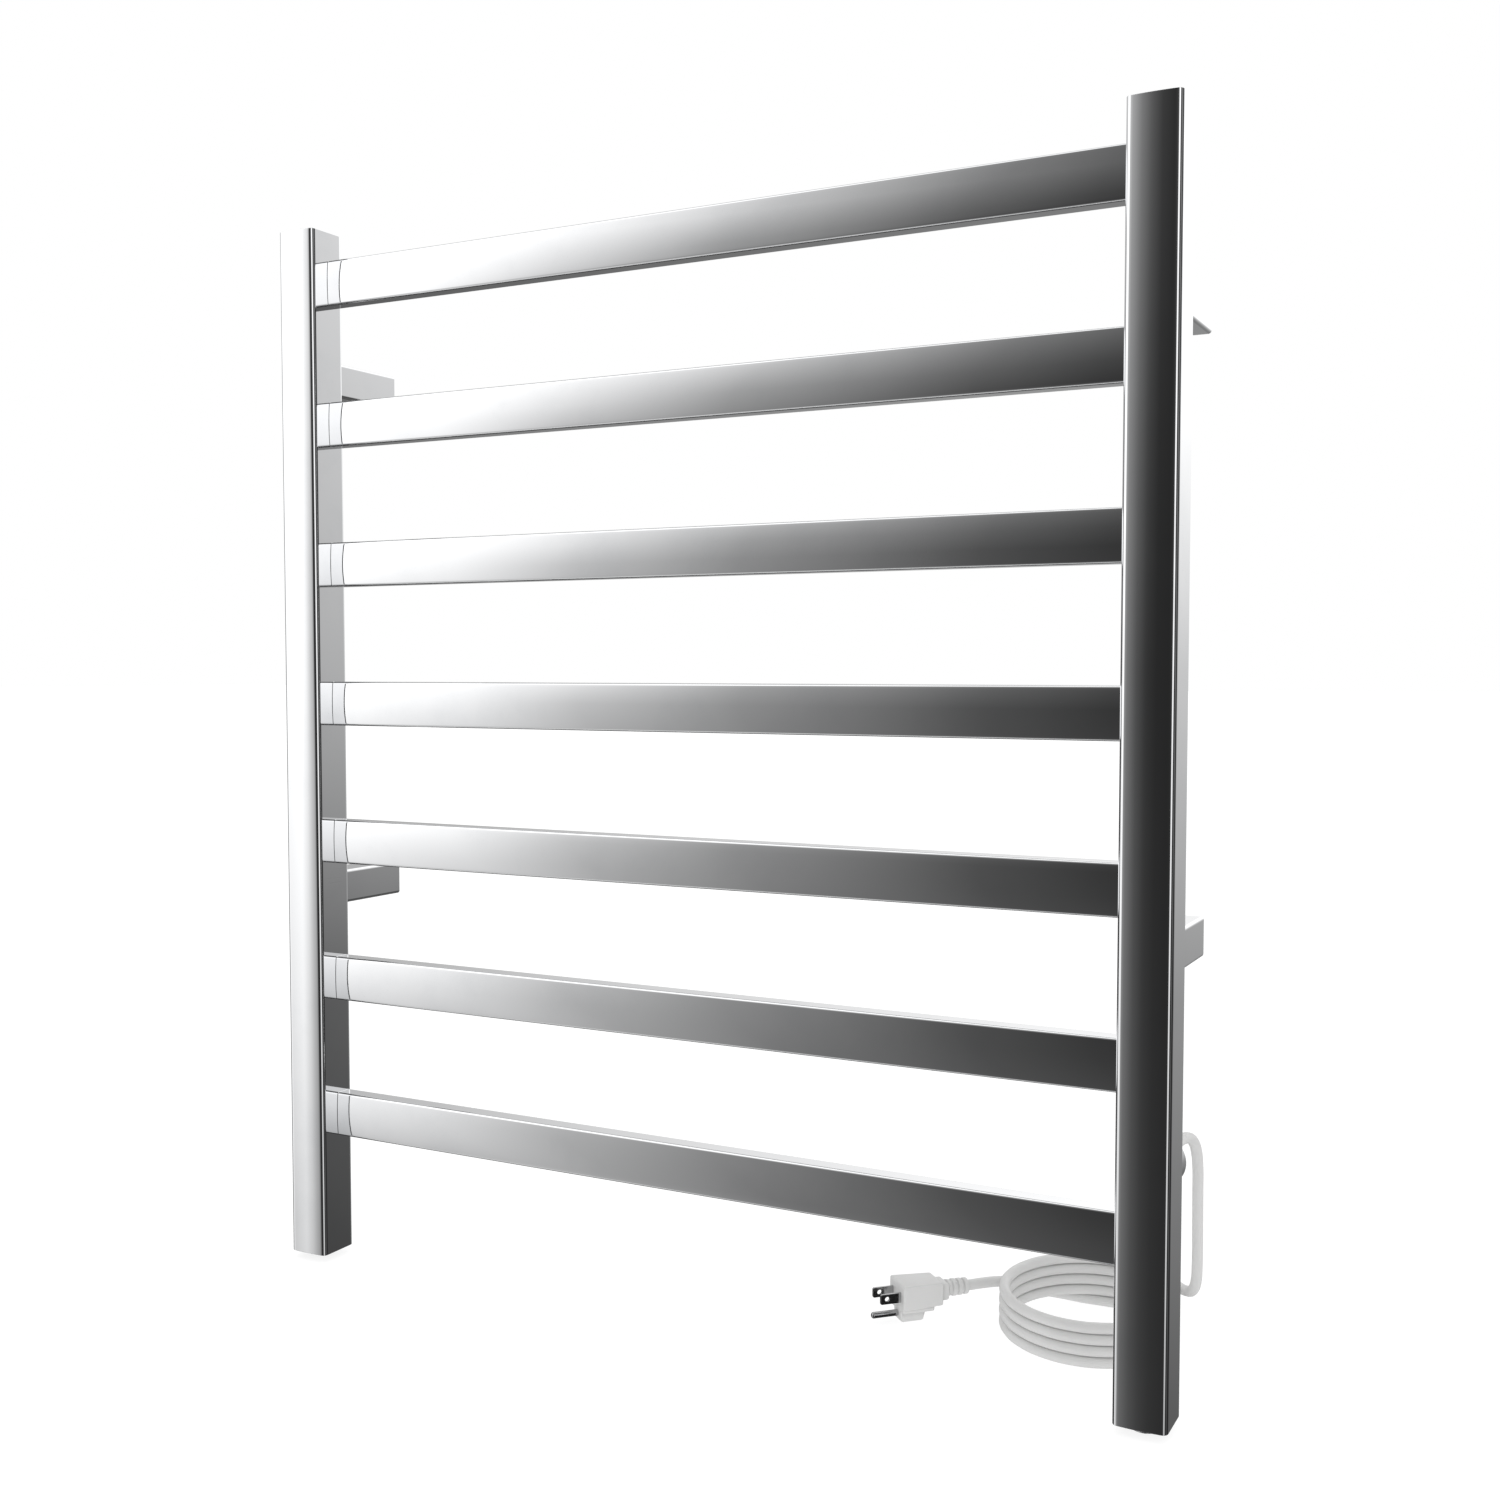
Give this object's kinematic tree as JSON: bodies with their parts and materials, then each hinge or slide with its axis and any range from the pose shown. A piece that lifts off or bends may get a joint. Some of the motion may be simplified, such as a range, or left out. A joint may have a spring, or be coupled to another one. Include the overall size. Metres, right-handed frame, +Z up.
{
  "type": "electric towel warmer rack",
  "caption": "Polished wall-hung electric towel warmer: square posts, flat heated cross bars, box brackets, push switch, cord gland and a coiled mains cord with grounded plug.",
  "frame": {"origin": "on the wall plane, midway between the four wall brackets", "axes": "+X to the right seen from the front, +Y into the wall, +Z up; the bars' fronts face -Y"},
  "size_m": [0.61, 0.1795, 0.705],
  "materials": {
    "chrome": "polished mirror chrome",
    "steel": "plain zinc-plated steel",
    "blade_steel": "nickel-plated contact blades",
    "brass": "machined brass",
    "cord_plastic": "soft white vinyl, satin",
    "dark_plastic": "moulded dark plastic"
  },
  "bodies": {
    "rack": {"bar_1": "chrome", "bar_2": "chrome", "bar_3": "chrome", "bar_4": "chrome", "bar_5": "chrome", "bar_6": "chrome", "bar_7": "chrome", "bracket_bolt_lower_left": "steel", "bracket_bolt_lower_right": "steel", "bracket_bolt_upper_left": "steel", "bracket_bolt_upper_right": "steel", "bracket_lower_left": "chrome", "bracket_lower_right": "chrome", "bracket_upper_left": "chrome", "bracket_upper_right": "chrome", "cord_boot": "cord_plastic", "cord_coil": "cord_plastic", "cord_gland": "chrome", "cord_lead": "cord_plastic", "cord_tail": "cord_plastic", "gland_nut": "brass", "ground_screw": "brass", "heater_1": "steel", "heater_2": "steel", "heater_3": "steel", "heater_4": "steel", "heater_5": "steel", "heater_6": "steel", "heater_7": "steel", "left_bottom_cap": "chrome", "left_post": "chrome", "left_top_cap": "chrome", "live_riser": "dark_plastic", "neutral_riser": "dark_plastic", "plug_blade_live": "blade_steel", "plug_blade_neutral": "blade_steel", "plug_body": "cord_plastic", "plug_ground_pin": "blade_steel", "plug_strain_relief": "cord_plastic", "right_bottom_cap": "chrome", "right_post": "chrome", "right_top_cap": "chrome", "set_screw_lower_left": "steel", "set_screw_lower_right": "steel", "set_screw_upper_left": "steel", "set_screw_upper_right": "steel", "switch_bezel": "chrome", "switch_core": "dark_plastic", "switch_nut": "steel", "terminal_block": "dark_plastic", "thermal_cutout": "brass", "wall_mount_lower_left": "steel", "wall_mount_lower_right": "steel", "wall_mount_upper_left": "steel", "wall_mount_upper_right": "steel"},
    "button": {"power_button": "chrome"}
  },
  "joints": [
    {"name": "button_press", "type": "slide", "parent": "rack", "child": "button", "axis": [0, 0, 1], "range_m": [0, 0.0025], "stiffness_N_per_m": 200, "springref_m": -0.002}
  ]
}
